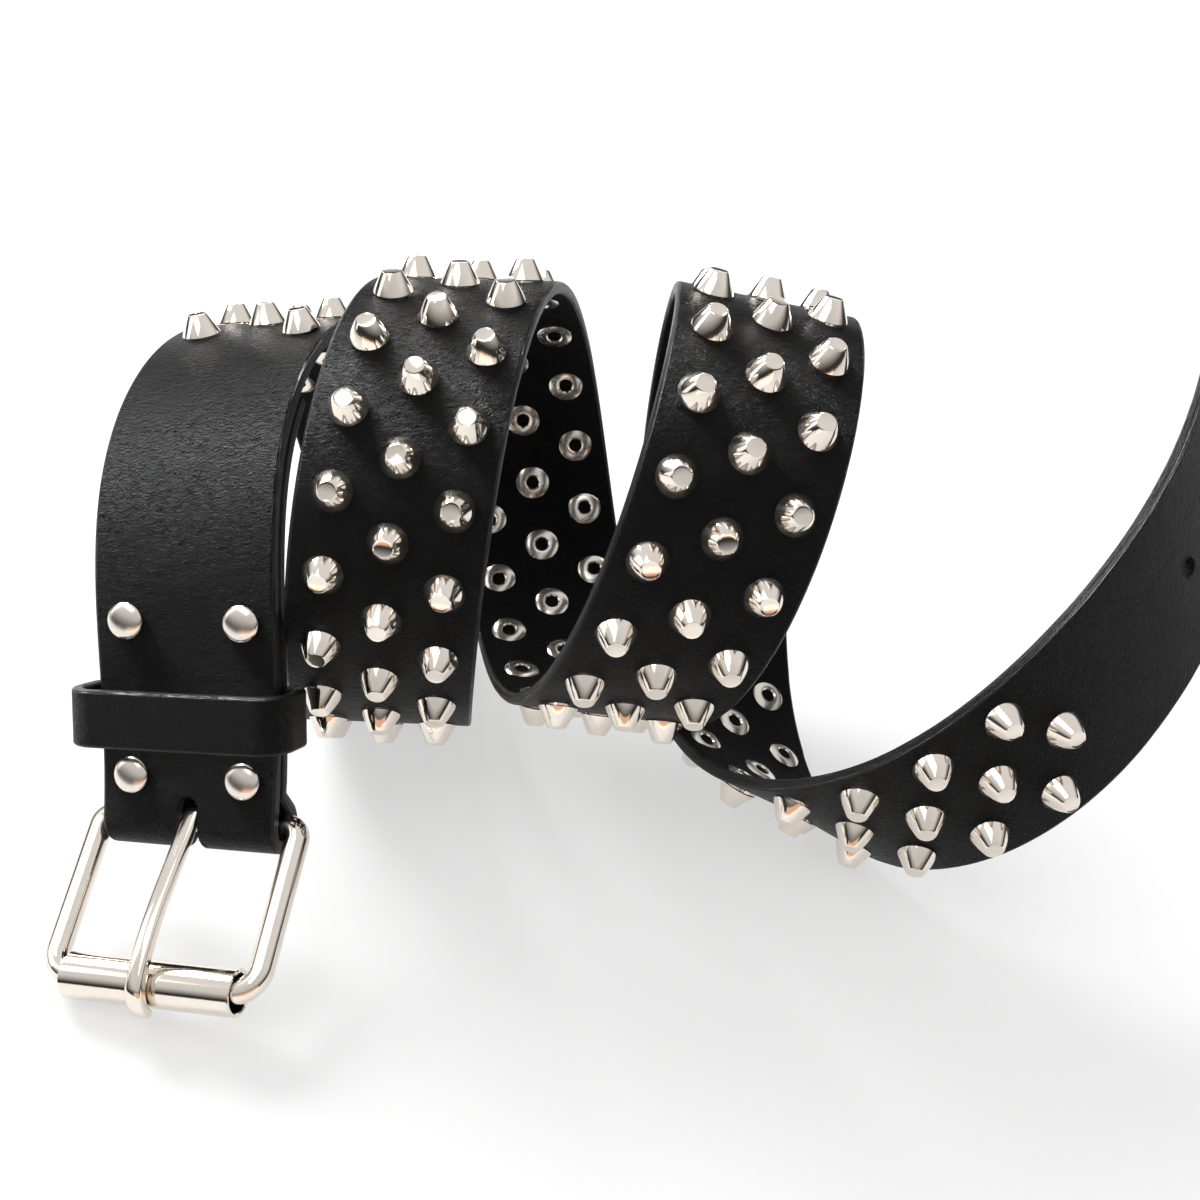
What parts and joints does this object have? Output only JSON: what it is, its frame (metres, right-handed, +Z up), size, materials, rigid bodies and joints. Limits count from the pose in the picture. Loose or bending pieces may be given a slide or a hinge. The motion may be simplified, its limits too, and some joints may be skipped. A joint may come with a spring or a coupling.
{
  "type": "studded leather belt with a roller buckle",
  "caption": "Black leather belt lying in loose coils, cut-cone studs in staggered rows on its face, wire roller buckle with prong, leather keeper loop and plain free end with holes.",
  "frame": {"origin": "middle of the belt's box in plan, on the surface that the belt lies on", "axes": "+Z up; +X from the buckle end towards the free end, the picture's right; +Y away from the viewer"},
  "size_m": [0.2756, 0.212, 0.1265],
  "materials": {
    "strap_leather": "black, fine grain, satin sheen, burnished edges",
    "keeper_leather": "black, fine grain, satin sheen, burnished edges",
    "rivet_metal": "nickel plate, softly brushed domes",
    "buckle_metal": "bright nickel plate"
  },
  "bodies": {
    "strap": {"studded_strap": "strap_leather", "keeper_loop": "keeper_leather", "rivet_lower_left": "rivet_metal", "rivet_lower_right": "rivet_metal", "rivet_upper_left": "rivet_metal", "rivet_upper_right": "rivet_metal"},
    "frame": {"buckle_frame": "buckle_metal"},
    "roller": {"roller": "buckle_metal"},
    "prong": {"prong": "buckle_metal"}
  },
  "joints": [
    {"name": "frame_swing", "type": "hinge", "parent": "strap", "child": "frame", "pos_m": [-0.11025, -0.06662, 0.02346], "axis": [-0.9634, 0.1778, -0.2004], "range_deg": [-130, 15]},
    {"name": "prong_swing", "type": "hinge", "parent": "frame", "child": "prong", "pos_m": [-0.11025, -0.06662, 0.02346], "axis": [-0.9634, 0.1778, -0.2004], "range_deg": [0, 40]},
    {"name": "roller_spin", "type": "hinge", "parent": "frame", "child": "roller", "pos_m": [-0.113, -0.09783, 0.00898], "axis": [-0.9634, 0.1778, -0.2004], "continuous": true}
  ]
}
